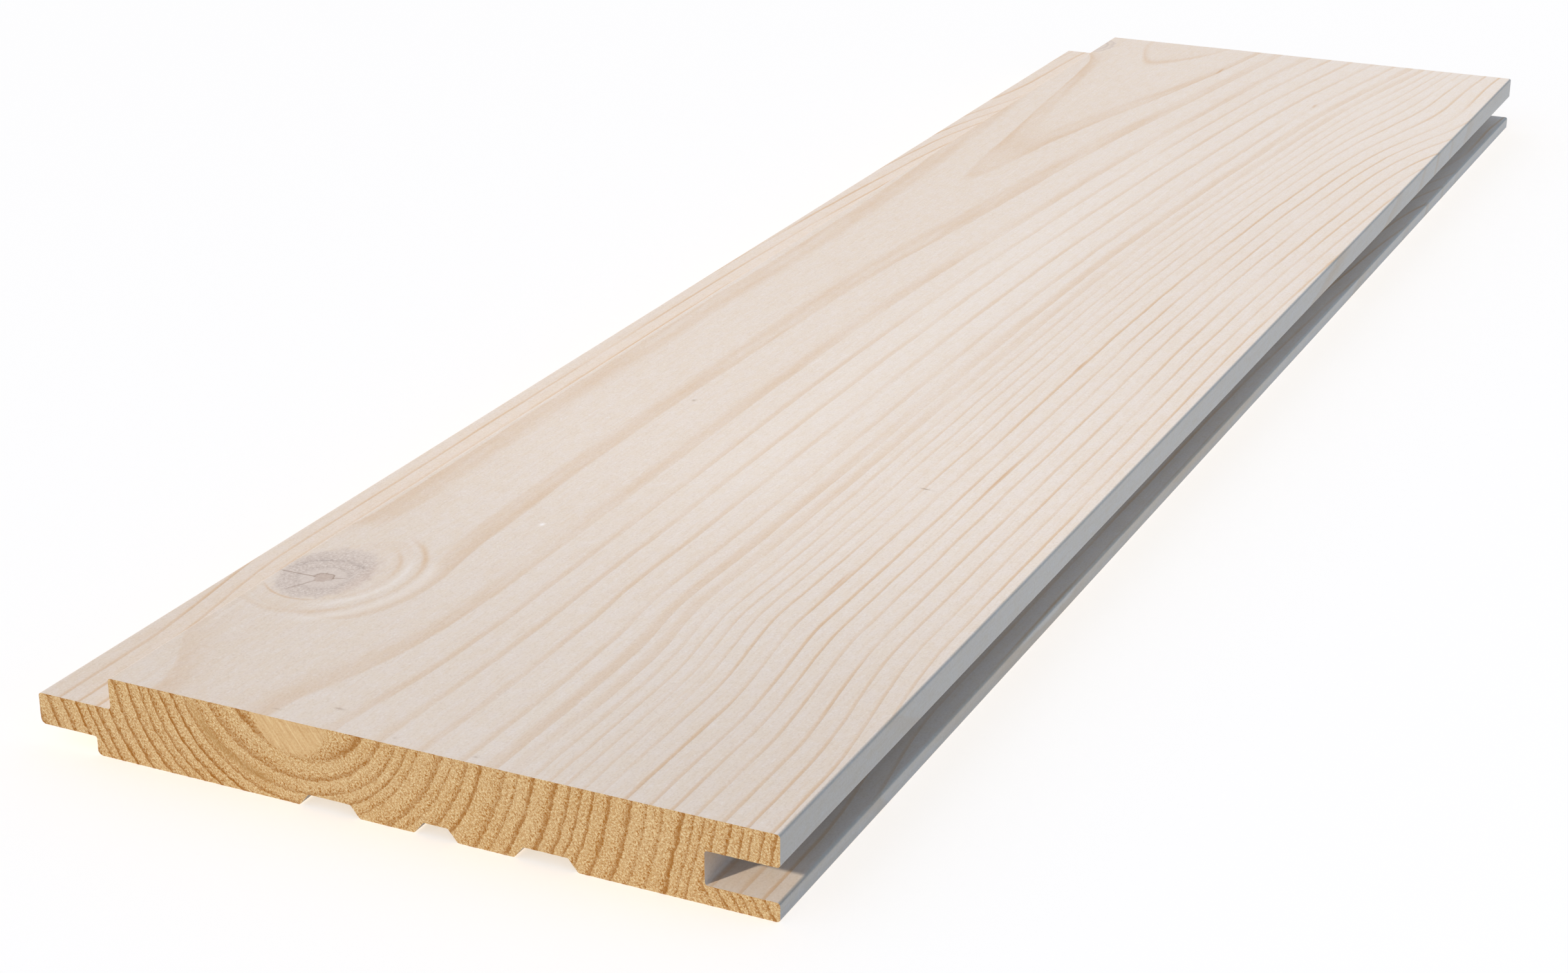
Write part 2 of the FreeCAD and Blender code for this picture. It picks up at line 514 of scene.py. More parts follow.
@dataclass(frozen=True)
class Knot:
    """The sound knot near the tongue side of the show face.

    Attributes:
        across: the place of its middle across the face.
        along: the place of its middle along the face.
        half_width: half its size across the face.
        half_length: half its size along the face.
        pith_across: the place of its pith across the face.
        pith_along: the place of its pith along the face.
        pith_radius: the size of the pith.
        pith_depth: how far the pith has shrunk below the face.
        dish: how far the middle has shrunk below the face.
        checks: the cracks.
    """

    across: float = -39.3
    along: float = 44.8
    half_width: float = 7.6
    half_length: float = 10.0
    pith_across: float = -38.9
    pith_along: float = 42.95
    pith_radius: float = 1.55
    pith_depth: float = 0.08
    dish: float = 0.06
    checks: tuple[Check, ...] = (
        Check(-92.0, 1.4, 8.6, 0.18, 0.06, 0.58),
        Check(-154.0, 1.4, 7.4, 0.24, 0.0, 0.36),
        Check(68.0, 1.5, 4.4, 0.16, 0.04, 0.60),
        Check(-14.0, 1.5, 2.9, 0.16, 0.0, 0.40),
    )

    def depth(self, across: float, along: float) -> float:
        """How far the face lies below its plane inside the knot.

        Args:
            across: the point's place across the face.
            along: its place along the face.

        Returns:
            The depth in millimetres.
        """
        oval = math.hypot((along - self.along) / self.half_length, (across - self.across) / self.half_width)
        low = self.dish * max(0.0, 1.0 - oval**2)
        step_along, step_across = along - self.pith_along, across - self.pith_across
        for check in self.checks:
            forward, aside = check.count(step_along, step_across)
            if check.start < forward < check.length:
                taper = min(1.0, (check.length - forward) / 2.0)
                low = max(low, check.deep * taper * max(0.0, 1.0 - abs(aside) / check.width))
        pith = math.hypot(step_along, step_across) / self.pith_radius
        return max(low, self.pith_depth * max(0.0, 1.0 - pith**2))

    def oval(self, graph: Graph, across: Signal, along: Signal) -> Signal:
        """How far out in the knot's oval a point is, one on its rim."""
        return graph.far((along - self.along) / self.half_length, (across - self.across) / self.half_width)

    def rings(self, graph: Graph, across: Signal, along: Signal) -> tuple[Signal, Signal, Signal]:
        """The stem's growth pressed round the knot.

        Args:
            graph: the nodes that work it out.
            across: the point's place across the face.
            along: its place along the face.

        Returns:
            How far out a point is, the tan of the pressed late wood, and the white of the glaze between.
        """
        step_along, step_across = along - (self.along + 1.7), across - (self.across - 0.2)
        out = graph.far(step_along, step_across * 1.22)
        inner, outer = out - 12.0, out - 16.5
        under = step_across.rise(3.0, 9.0)
        near = step_along.rise(-8.0, -11.0) * step_across.rise(6.0, 1.0)
        tan = graph.hill((inner, 0.50)) * under * (graph.hill((step_along - 7.5, 5.0)) * 0.6 + 0.25)
        tan += graph.hill((inner, 0.26)) * near * 1.1
        under_outer = under * (graph.hill((step_along - 9.5, 5.0)) * 0.8 + 0.35)
        tan += graph.hill((outer, 0.65)) * (under_outer + step_along.rise(-11.0, -14.0) * 0.35)
        white = graph.hill((out - 13.9, 0.8)) + graph.hill((out - 18.6, 1.1))
        return out, tan, white * under * (1.0 - step_along.rise(4.0, 11.0))

    def cracks(self, graph: Graph, across: Signal, along: Signal) -> Signal:
        """The dark of the drying cracks.

        Args:
            graph: the nodes that work it out.
            across: the point's place across the face.
            along: its place along the face.

        Returns:
            How dark a crack is, and none elsewhere.
        """
        wander = (graph.mottle((along, across, 3.0), (1.2, 1.2, 1.0)) - 0.5) * 0.25
        total: Value = 0.0
        for check in self.checks:
            forward, aside = check.count(along - self.pith_along, across - self.pith_across)
            thin = 1.0 - (aside + wander).size().rise(check.width * 0.3, check.width)
            mark = thin * forward.rise(check.start - 0.3, check.start + 0.3) * check.dark
            total = (mark * (1.0 - forward.rise(check.length - 2.0, check.length))).at_least(total)
        return total


@dataclass(frozen=True)
class Fleck:
    """A small mark in the show face.

    Attributes:
        across: its place across the face.
        along: its place along the face.
        half_width: half its size across.
        half_length: half its size along.
        strength: how strongly it shows.
        mark: what it is.
    """

    across: float
    along: float
    half_width: float
    half_length: float
    strength: float
    mark: Mark


@dataclass(frozen=True)
class Ring:
    """One dark ring of late wood in a sawn end.

    Attributes:
        out: how far out from the pith its sharp side lies.
        strength: how dark it is.
    """

    out: float
    strength: float


@dataclass(frozen=True)
class EndFigure:
    """The rings of a sawn end.

    Attributes:
        pith_across: the place of the tree's pith across the end.
        pith_height: its height above the back face.
        core: the rings on both sides of the pith, from the pith outwards.
        tongue_side: the rings further out on the tongue's side.
        groove_side: the rings further out on the groove's side.
        faint: how many rings round the heart are faint at their lowest.
        heart_across: the place of the smooth heart wood's middle across the end.
        heart_height: its height above the back face.
        heart: how far the smooth heart wood reaches from there.
        streak: how far out the dense smooth streak beside the heart lies.
        seed: what makes the two ends' fibres differ.
    """

    pith_across: float = -15.0
    pith_height: float = 20.3
    core: tuple[Ring, ...] = (
        Ring(4.0, 0.3),
        Ring(8.5, 0.3),
        Ring(13.2, 0.7),
        Ring(16.4, 0.6),
        Ring(18.7, 0.5),
        Ring(20.4, 0.7),
    )
    tongue_side: tuple[Ring, ...] = (
        Ring(22.4, 1.1),
        Ring(24.4, 1.1),
        Ring(26.2, 0.9),
        Ring(27.9, 0.8),
        Ring(30.0, 1.0),
        Ring(32.4, 0.9),
        Ring(34.7, 1.1),
        Ring(36.9, 0.9),
        Ring(38.5, 0.9),
        Ring(40.5, 1.3),
        Ring(43.0, 1.0),
        Ring(45.5, 1.0),
        Ring(48.0, 0.9),
    )
    groove_side: tuple[Ring, ...] = (
        Ring(21.9, 0.4),
        Ring(25.4, 0.6),
        Ring(26.9, 0.3),
        Ring(29.2, 0.6),
        Ring(31.3, 0.9),
        Ring(35.2, 0.5),
        Ring(37.0, 0.4),
        Ring(39.5, 0.9),
        Ring(42.8, 0.9),
        Ring(44.9, 0.8),
        Ring(46.6, 0.8),
        Ring(48.4, 0.8),
        Ring(51.0, 0.8),
        Ring(54.0, 0.8),
        Ring(56.2, 0.4),
        Ring(58.6, 0.4),
        Ring(61.5, 1.0),
        Ring(63.0, 0.5),
        Ring(64.4, 0.7),
        Ring(66.2, 0.6),
        Ring(68.4, 0.9),
        Ring(70.2, 0.8),
        Ring(71.5, 0.7),
        Ring(73.1, 0.8),
        Ring(74.9, 0.9),
        Ring(78.0, 0.7),
    )
    faint: int = 3
    heart_across: float = -15.8
    heart_height: float = 13.7
    heart: float = 6.6
    streak: float = 18.2
    seed: float = 0.0

    def grain(self, across: float, height: float, size: float, layer: float) -> float:
        """Noise of a size in millimetres, from minus one to one, with a layer of its own for each use."""
        return noise.noise(Vector((across / size, height / size, self.seed + layer)))

    def out(self, across: float, height: float) -> float:
        """How far out from the pith a point of the end is, with the growth's small waves.

        Args:
            across: the point's place across the end.
            height: its height above the back face.

        Returns:
            The distance in millimetres.
        """
        wave = self.grain(across, height, 9.0, 0.0) * 0.35
        tremor = noise.noise(Vector((across / 1.3, height / 1.9, self.seed + 7.0))) * 0.20
        under_groove = 0.78 * min(0.0, height - 3.0) * clamp((across - 47.0) / 2.0)
        plain = math.hypot(across - self.pith_across, height - self.pith_height)
        beside = max(-0.6, min(0.8, 0.08 * (self.pith_across - across)))
        lean = beside * clamp((16.0 - plain) / 2.5)
        return plain + lean + wave + tremor + under_groove

    def ring(self, across: float, height: float) -> tuple[float, float]:
        """Which year's growth a point of the end lies in.

        Args:
            across: the point's place across the end.
            height: its height above the back face.

        Returns:
            The years out from the pith, the last one in part, and how dark that one's ring is.
        """
        out = self.out(across, height)
        inner = 0.0
        further = self.tongue_side if across < self.pith_across else self.groove_side
        for year, ring in enumerate(self.core + further):
            if out < ring.out:
                faint = 0.35 + 0.65 * clamp((height - 8.0) / 3.0) if year < self.faint else 1.0
                return year + (out - inner) / (ring.out - inner), ring.strength * faint
            inner = ring.out
        return year + 1.0, ring.strength

    def smooth(self, across: float, height: float) -> float:
        """How smooth the saw has left a point: one in the heart wood, and none in the torn wood."""
        off = math.hypot(across - self.heart_across, height - self.heart_height)
        return clamp((self.heart + 0.5 * self.grain(across, height, 0.8, 5.0) - off) / 0.9)

    def rim(self, across: float, height: float) -> float:
        """How far a point is in the dark wood round the heart.

        Args:
            across: the point's place across the end.
            height: its height above the back face.

        Returns:
            One in the upper part of the heart's rim, and none elsewhere.
        """
        out = self.out(across, height)
        within = clamp((out - 11.2) / 1.4) * clamp((13.3 - out) / 0.4)
        return clamp((height - 7.6) / 2.4) * within * (1.0 - self.smooth(across, height))

    def dense(self, across: float, height: float) -> float:
        """How dense the wood is at a point.

        Args:
            across: the point's place across the end.
            height: its height above the back face.

        Returns:
            One in the streak beside the heart, and none elsewhere.
        """
        beside = self.pith_across - across
        away = self.out(across, height) - self.streak - 0.11 * max(0.0, beside - 6.0)
        ends = clamp((beside - 3.0) / 3.0) * clamp((19.5 - beside) / 4.0)
        return math.exp(-((away / 0.8) ** 2)) * ends

    def depth(self, across: float, height: float, through: float, smooth: float) -> float:
        """How deep the saw has torn the end at a point.

        Args:
            across: the point's place across the end.
            height: its height above the back face.
            through: how far through its year the point is.
            smooth: how smooth the end is there.

        Returns:
            The depth in millimetres.
        """
        late = max(0.0, 1.0 - abs(through - 0.85) / 0.2)
        torn = 0.5 + 0.5 * self.grain(across, height, 0.62, 11.0)
        fibre = 0.5 + 0.5 * self.grain(across, height, 0.30, 17.0)
        return (1.0 - 0.85 * smooth) * (0.03 * (1.0 - late) + 0.07 * torn + 0.07 * fibre)


@dataclass(frozen=True)
class Speckle:
    """One fine layer of the glazed wood.

    Attributes:
        sizes: how large its clouds are across, along and up.
        detail: how many finer layers they have.
        start: the density at which it begins to show.
        full: the density at which it shows fully.
        amount: how strongly it shows.
        colour: its colour.
        coat: the way that it goes on.
        layer: how far up it is shifted, so that like layers differ.
    """

    sizes: Sizes
    detail: float
    start: float
    full: float
    amount: float
    colour: Colour
    coat: Coat
    layer: float = 0.0


@dataclass(frozen=True)
class GlazedPine:
    """Planed pine under a thin white glaze, with its figure showing through.

    Attributes:
        half_length: half the board's length, which Object coordinates are counted from.
        thickness: the board's thickness.
        figure: the grain of the show face.
        knot: the knot in it.
        branch: the side of a branch at its far corner.
        flecks: the small marks in it.
        speckles: the fine layers of the glaze.
        glaze: the colour of the glazed early wood.
        warm: a warmer glaze, laid over the tongue's half of the show face and in broad clouds.
        white: a thin white over all the glaze, and painted light mid-face and far along on the groove's half.
        late: how the late wood tints the glaze.
        painted_near_end_shade: painted shade, darkening the glaze towards the near end.
        painted_groove_mouth_shade: painted shade in the groove's open end, darker and warmer.
        painted_groove_shade: painted shade deeper in the groove, darker and cooler.
        painted_channel_shade: painted shade in the relief channels.
        painted_lip_shade: painted shade on the lips on the groove's side.
        painted_foot_shade: painted shade, cooler and darker, low on the lower lip, on top of that.
        ring_white: the glaze between the rings round the knot.
        knot_grey: the glazed knot.
        knot_dark: the spots and rings in it.
        knot_pale: the light flecks in it.
        knot_tan: its side towards the groove.
        pith: the knot's pith.
        crack: the bare wood in its cracks.
        grain_depth: the relief of the planed grain.
    """

    half_length: float
    thickness: float
    figure: FaceFigure = FaceFigure()
    knot: Knot = Knot()
    branch: Knot = Knot(across=-48.0, along=423.0, half_width=4.8, half_length=8.5)
    flecks: tuple[Fleck, ...] = (
        Fleck(31.5, 116.0, 0.8, 0.22, 0.8, Mark.BARK),
        Fleck(41.1, 126.0, 0.25, 9.0, 0.65, Mark.RESIN),
        Fleck(34.3, 183.5, 0.25, 3.5, 0.6, Mark.RESIN),
        Fleck(34.1, 75.0, 0.25, 4.5, 0.6, Mark.RESIN),
        Fleck(22.0, 386.0, 0.35, 1.6, 0.5, Mark.RESIN),
        Fleck(-9.7, 410.0, 0.3, 3.0, 0.7, Mark.RESIN),
        Fleck(-22.5, 137.0, 0.35, 0.5, 0.5, Mark.BARK),
        Fleck(-19.4, 2.4, 0.6, 0.22, 0.35, Mark.BARK),
        Fleck(-11.4, 6.2, 0.8, 0.26, 0.55, Mark.BARK),
        Fleck(0.4, 2.0, 0.35, 0.3, 0.3, Mark.BARK),
        Fleck(13.4, 1.9, 0.35, 0.3, 0.45, Mark.BARK),
        Fleck(-18.7, 75.7, 0.35, 0.6, 0.8, Mark.CHIP),
    )
    speckles: tuple[Speckle, ...] = (
        Speckle((0.9, 34.0, 0.9), 2.0, 0.62, 0.78, 0.10, (1.0, 0.98, 0.96), Coat.LAY),
        Speckle((0.30, 0.42, 0.30), 1.0, 0.48, 0.72, 0.45, (0.85, 0.83, 0.81), Coat.TINT),
        Speckle((0.34, 0.46, 0.34), 1.0, 0.52, 0.76, 0.26, (0.92, 0.90, 0.91), Coat.LAY, 30.0),
        Speckle((1.5, 2.6, 1.5), 1.0, 0.3, 0.7, 1.0, (0.992, 0.978, 0.940), Coat.TINT, 60.0),
    )
    glaze: Colour = (0.806, 0.737, 0.698)
    warm: Colour = (0.786, 0.700, 0.640)
    # A little of this white is the glaze's own; the rest is painted light.
    white: Colour = (1.0, 1.0, 1.0)
    late: Colour = (0.905, 0.770, 0.620)
    # The six tints below are painted shade, laid into the glaze.
    painted_near_end_shade: Colour = (0.84, 0.83, 0.82)
    painted_groove_mouth_shade: Colour = (0.83, 0.82, 0.80)
    painted_groove_shade: Colour = (0.845, 0.88, 0.895)
    painted_channel_shade: Colour = (0.42, 0.43, 0.44)
    painted_lip_shade: Colour = (0.645, 0.685, 0.70)
    painted_foot_shade: Colour = (0.85, 0.90, 0.98)
    ring_white: Colour = (0.88, 0.86, 0.85)
    knot_grey: Colour = (0.606, 0.524, 0.482)
    knot_dark: Colour = (0.230, 0.172, 0.158)
    knot_pale: Colour = (0.80, 0.75, 0.73)
    knot_tan: Colour = (0.66, 0.52, 0.44)
    pith: Colour = (0.520, 0.420, 0.370)
    crack: Colour = (0.210, 0.115, 0.060)
    grain_depth: float = 0.03 * MM

    def material(self) -> bpy.types.Material:
        """Makes the finish.

        Returns:
            The material, which reads Object coordinates.
        """
        graph = Graph("white_glazed_pine")
        across, from_middle, height = graph.place()
        along = from_middle + self.half_length / MM
        point = (across, along, height)
        on_tongue = across.below(-46.9) * height.below(8.3) * height.above(2.8)
        depth = height * -1.0 + self.thickness / MM
        sideways = across - depth * self.figure.lean + on_tongue * self.figure.tongue_shift
        place = (sideways, along, height)
        wave = (graph.mottle(point, (26.0, 70.0, 26.0), 1.0) - 0.5) * 0.8
        shiver = (graph.mottle(point, (5.0, 16.0, 5.0), 1.0) - 0.5) * 0.4
        growth = self.figure.growth(graph, sideways, along) + wave + shiver
        dark, through = self.figure.late_wood(graph, growth)
        patch = graph.mottle((growth, along, 0.0), (3.0, 45.0, 1.0), 1.0)
        quiet = graph.hill((sideways + 35.0, 13.0), (along - 22.0, 14.0))
        pressed, tan, white = self.knot.rings(graph, sideways, along)
        dark = dark * patch.rise(0.15, 0.70) * (1.0 - quiet * 0.75) * pressed.rise(15.5, 20.5)
        colour = self.wood(graph, point, dark, through)
        near_face = height.rise(9.0, 11.0)
        colour = graph.blend(white * near_face * 0.30, colour, self.ring_white)
        colour = graph.tint(tan * near_face * 0.75, colour, self.late)
        for lay_over in (self.knot_over, self.branch_over, self.flecks_over):
            colour = lay_over(graph, colour, place)
        graph.feed(graph.surface.inputs["Base Color"], colour)
        fibre = graph.mottle(point, (0.35, 5.0, 0.35))
        graph.gloss(fibre * 0.16 + dark * -0.06 + 0.50, 0.30)
        graph.relief(fibre * 0.6 + dark * 0.5, self.grain_depth)
        return graph.material

    def wood(self, graph: Graph, point: Point, dark: Signal, through: Signal) -> bpy.types.NodeSocket:
        """The colour of the glazed wood away from the knot, with painted shade and painted light laid into
        it.

        Args:
            graph: the nodes that work it out.
            point: the place on the board.
            dark: how dark the late wood is there.
            through: how far through its year the place is.

        Returns:
            The colour.
        """
        across, along, height = point
        cloud = graph.mottle(point, (30.0, 110.0, 30.0))
        tongue_half = 1.0 - across.rise(-45.0, 25.0)
        colour = graph.blend(cloud.rise(0.3, 0.7) * 0.4 + tongue_half * 0.7, self.glaze, self.warm)
        fibre = graph.mottle(point, (0.45, 9.0, 0.45), 3.0, 0.6)
        for amount in (through.power(2.0) * 0.16, fibre.rise(0.40, 0.75) * 0.24):
            colour = graph.tint(amount, colour, self.late)
        for layer in self.speckles:
            cloud = graph.mottle((across, along, height + layer.layer), layer.sizes, layer.detail)
            shown = cloud.rise(layer.start, layer.full) * layer.amount
            colour = graph.blend(shown, colour, layer.colour, layer.coat)
        # Painted light: whiter in the middle of the show face and towards the far end on the groove's half;
        # the even part is the glaze's own white.
        far = along.rise(250.0, 390.0)
        groove_half = across.rise(0.0, 45.0)
        middle = graph.hill((across - 1.0, 10.0)) * along.rise(60.0, 130.0) * (1.0 - far)
        colour = graph.blend(middle * 0.09 + far * groove_half * 0.10 + 0.03, colour, self.white)
        # Where shade is painted: in the groove, in the relief channels and on the lips on the groove's side.
        groove = across.above(48.9) * height.above(2.6) * height.below(8.4)
        within = along.rise(4.0, 12.0)
        channels = height.rise(0.05, 0.5) * height.below(2.2) * across.above(-16.0) * across.below(31.0)
        lips = across.rise(59.45, 59.9)
        for amount, shade in (
            # Painted shade, darker towards the near end of the board.
            ((1.0 - along.rise(0.0, 130.0)) * (groove_half * 0.20 + 0.72), self.painted_near_end_shade),
            # Painted shade in the groove: darker and warmer at its open end, darker and cooler further in.
            (groove * (1.0 - within), self.painted_groove_mouth_shade),
            (groove * within, self.painted_groove_shade),
            # Painted shade in the relief channels, left at less than half their brightness.
            (channels, self.painted_channel_shade),
            # Painted shade on the lips on the groove's side, about a third darker and greyer.
            (lips, self.painted_lip_shade),
            # Painted shade, cooler and darker, low on the lower lip.
            (lips * (1.0 - height.rise(0.0, 2.4)), self.painted_foot_shade),
            (dark * (1.0 - lips * 0.5), self.late),
        ):
            colour = graph.tint(amount, colour, shade)
        return colour

    def knot_over(self, graph: Graph, colour: bpy.types.NodeSocket, point: Point) -> bpy.types.NodeSocket:
        """Lays the knot over the wood.

        Args:
            graph: the nodes that work it out.
            colour: the wood's colour.
            point: the place in the figure.

        Returns:
            The colour with the knot.
        """
        across, along, height = point
        knot = self.knot
        near_face = height.rise(9.0, 11.0)
        rough = graph.mottle((across, along, 1.0), (1.6, 1.6, 1.0), 3.0, 0.6)
        oval = knot.oval(graph, across, along) + (rough - 0.5) * 0.55
        inside = 1.0 - oval.rise(0.82, 1.10)
        inside = inside * (1.0 - along.rise(knot.along + 5.0, knot.along + 9.5) * 0.25)
        step_along, step_across = along - knot.pith_along, across - knot.pith_across
        off = graph.far(step_along, step_across)
        turn = graph.math("ARCTAN2", step_across, step_along)
        ray = graph.mottle((turn, off, 5.0), (0.16, 2.2, 1.0), 3.0, 0.65)
        spot = graph.mottle((across, along, 9.0), (0.44, 0.52, 1.0), 3.0, 0.65)
        years = graph.hill((off - 4.1, 0.5)) * 0.5
        years += graph.hill((off - 6.8, 0.6)) * step_along.rise(0.0, 4.0)
        outer = off.rise(2.8, 4.6)
        grey: Paint = self.knot_grey
        for amount, over in (
            (spot.rise(0.46, 0.64) * (outer * 0.12 + 0.11), self.knot_dark),
            (years * rough.rise(0.3, 0.6) * 0.34, self.knot_dark),
            ((1.0 - spot.rise(0.36, 0.50)) * (outer * 0.22 + 0.14), self.knot_pale),
            (ray.rise(0.46, 0.66) * 0.14 + (1.0 - outer) * 0.16, self.glaze),
            (step_across.rise(3.5, 6.0) * 0.35, self.knot_tan),
        ):
            grey = graph.blend(amount, grey, over)
        ragged = off + (rough - 0.5) * 1.5
        pith = 1.0 - ragged.rise(knot.pith_radius * 0.8, knot.pith_radius * 1.1)
        rim = graph.hill((ragged - knot.pith_radius * 1.05, 0.18)) * step_along.rise(-0.8, 0.6)
        for amount, over in (
            (inside * 0.92, grey),
            (pith * (spot.rise(0.4, 0.6) * 0.3 + 0.70), self.pith),
            (rim * 0.62, self.crack),
            (knot.cracks(graph, across, along), self.crack),
        ):
            colour = graph.blend(amount * near_face, colour, over)
        return colour

    def branch_over(self, graph: Graph, colour: bpy.types.NodeSocket, point: Point) -> bpy.types.NodeSocket:
        """Lays the side of a branch, planed away at the far corner, over the wood.

        Args:
            graph: the nodes that work it out.
            colour: the wood's colour.
            point: the place in the figure.

        Returns:
            The colour with the branch.
        """
        across, along, height = point
        rough = graph.mottle((across, along, 2.0), (1.8, 1.8, 1.0), 2.0)
        oval = self.branch.oval(graph, across, along) + (rough - 0.5) * 0.3
        inside = (1.0 - oval.rise(0.80, 1.05)) * height.rise(9.0, 11.0)
        arcs = (oval * 3.2).fraction()
        return graph.blend(inside * (arcs.rise(0.3, 0.8) * 0.5 + 0.25), colour, self.knot_grey)

    def flecks_over(self, graph: Graph, colour: bpy.types.NodeSocket, point: Point) -> bpy.types.NodeSocket:
        """Lays the small marks over the wood.

        Args:
            graph: the nodes that work it out.
            colour: the wood's colour.
            point: the place in the figure.

        Returns:
            The colour with the marks.
        """
        across, along, height = point
        near_face = height.rise(11.0, 12.0)
        for fleck in self.flecks:
            steps = (across - fleck.across, fleck.half_width), (along - fleck.along, fleck.half_length)
            colour = graph.blend(graph.hill(*steps) * near_face * fleck.strength, colour, fleck.mark.value)
        return colour


@dataclass(frozen=True)
class SawnPine:
    """The bare sawn end grain.

    Attributes:
        straw: the early wood.
        amber: the late wood.
        pale: the loose light fibres and the light saw marks, with painted highlight on the torn fibres.
        painted_pit_shade: painted shade in the torn pits.
        heart: the smooth heart wood.
        dense: the dense streak beside it.
        tear_depth: the relief of the torn fibres.
    """

    straw: Colour = (0.362, 0.232, 0.102)
    amber: Colour = (0.215, 0.086, 0.011)
    pale: Colour = (0.510, 0.412, 0.255)
    # Painted shade in the torn pits.
    painted_pit_shade: Colour = (0.235, 0.098, 0.015)
    heart: Colour = (0.415, 0.300, 0.166)
    dense: Colour = (0.255, 0.146, 0.050)
    tear_depth: float = 0.11 * MM

    def material(self) -> bpy.types.Material:
        """Makes the finish.

        Returns:
            The material, which reads the rings stored on the mesh.
        """
        graph = Graph("bare_sawn_pine")
        point = across, along, height = graph.place()
        fray = graph.mottle(point, (0.55, 0.55, 0.55), 3.0, 0.6)
        through = (graph.attribute("ring") + (fray - 0.5) * 0.22).fraction()
        smooth, dense = graph.attribute("smooth"), graph.attribute("dense")
        torn = (1.0 - smooth * 0.75) * (1.0 - dense * 0.75)
        cloud = graph.mottle(point, (9.0, 9.0, 9.0))
        broken = graph.mottle((across, along, height + 20.0), (0.9, 0.9, 0.9))
        line = through.rise(0.62, 0.90) * (1.0 - through.rise(0.95, 1.0)) * graph.attribute("weight")
        line = line * (broken.rise(0.25, 0.55) * 0.7 + 0.3)
        fleck = graph.mottle((across - height, along, across + height), (0.47, 0.30, 0.32), 3.0, 0.75)
        pits = graph.mottle((across, along, height + 40.0), (0.32, 0.32, 0.32), 3.0, 0.75)
        over_marks, down_marks = across * 0.80 + height * 0.60, across * 0.60 - height * 0.80
        saw = graph.mottle((over_marks, along, down_marks), (0.40, 1.0, 7.0))
        colour: Paint = self.straw
        for amount, over in (
            (cloud.rise(0.3, 0.7) * 0.45, self.heart),
            (smooth * 0.8, self.heart),
            (dense * 0.85, self.dense),
            # The pale flecks are the loose fibres' own light colour, partly painted highlight on the torn
            # wood.
            (fleck.rise(0.47, 0.58) * torn, self.pale),
            # Painted shade: dark spots for the shade in the torn pits, stronger towards the late wood.
            (pits.rise(0.49, 0.60) * torn * (through.rise(0.2, 0.75) * 0.50 + 0.50), self.painted_pit_shade),
            (line * (torn * 0.80 + 0.10), self.amber),
            (graph.attribute("rim") * (broken.rise(0.3, 0.65) * 0.50 + 0.08), self.amber),
            (saw.rise(0.50, 0.70) * (smooth * 0.18 + 0.10), self.amber),
            ((1.0 - saw.rise(0.30, 0.46)) * (smooth * 0.34 + 0.16), self.pale),
        ):
            colour = graph.blend(amount, colour, over)
        graph.feed(graph.surface.inputs["Base Color"], colour)
        graph.gloss(fray * 0.15 + 0.75, 0.15)
        graph.relief(fleck * torn, self.tear_depth)
        return graph.material


@dataclass
class Section:
    """The board's section, as the closed line of its corners.

    Attributes:
        corners: each corner, across and up.
        before: the length of the line before each corner.
    """

    corners: list[Vector]
    before: list[float]

    @classmethod
    def of_face(cls, face: bmesh.types.BMFace) -> "Section":
        """Reads the section from an end of the board.

        Args:
            face: the end, still one face.

        Returns:
            The section.
        """
        corners = [Vector((vert.co.x, vert.co.z)) for vert in face.verts]
        before = [0.0]
        for here, there in zip(corners, corners[1:]):
            before.append(before[-1] + (there - here).length)
        return cls(corners, before)

    def whole(self) -> float:
        """The length of the line all the way round."""
        return self.before[-1] + (self.corners[0] - self.corners[-1]).length

    def run_under(self, middle: Vector) -> int:
        """Which straight run of the section a face lies on.

        Args:
            middle: the face's middle, across and up.

        Returns:
            The number of the run's first corner.
        """
        best = (math.inf, 0)
        count = len(self.corners)
        for number in range(count):
            start = self.corners[number]
            run = self.corners[(number + 1) % count] - start
            part = clamp((middle - start).dot(run) / run.length_squared)
            best = min(best, ((start + run * part - middle).length, number))
        return best[1]

    def number(self, mesh: bmesh.types.BMesh) -> None:
        """Marks each long face with its run and each end as sawn, for the cuts to pass on.

        Args:
            mesh: the board's mesh, not cut yet.
        """
        mark = mesh.faces.layers.int.new("run")
        for face in mesh.faces:
            middle = face.calc_center_median()
            if abs(face.normal.y) > FACING:
                face.material_index = Slot.SAWN.value
            else:
                face[mark] = self.run_under(Vector((middle.x, middle.z)))


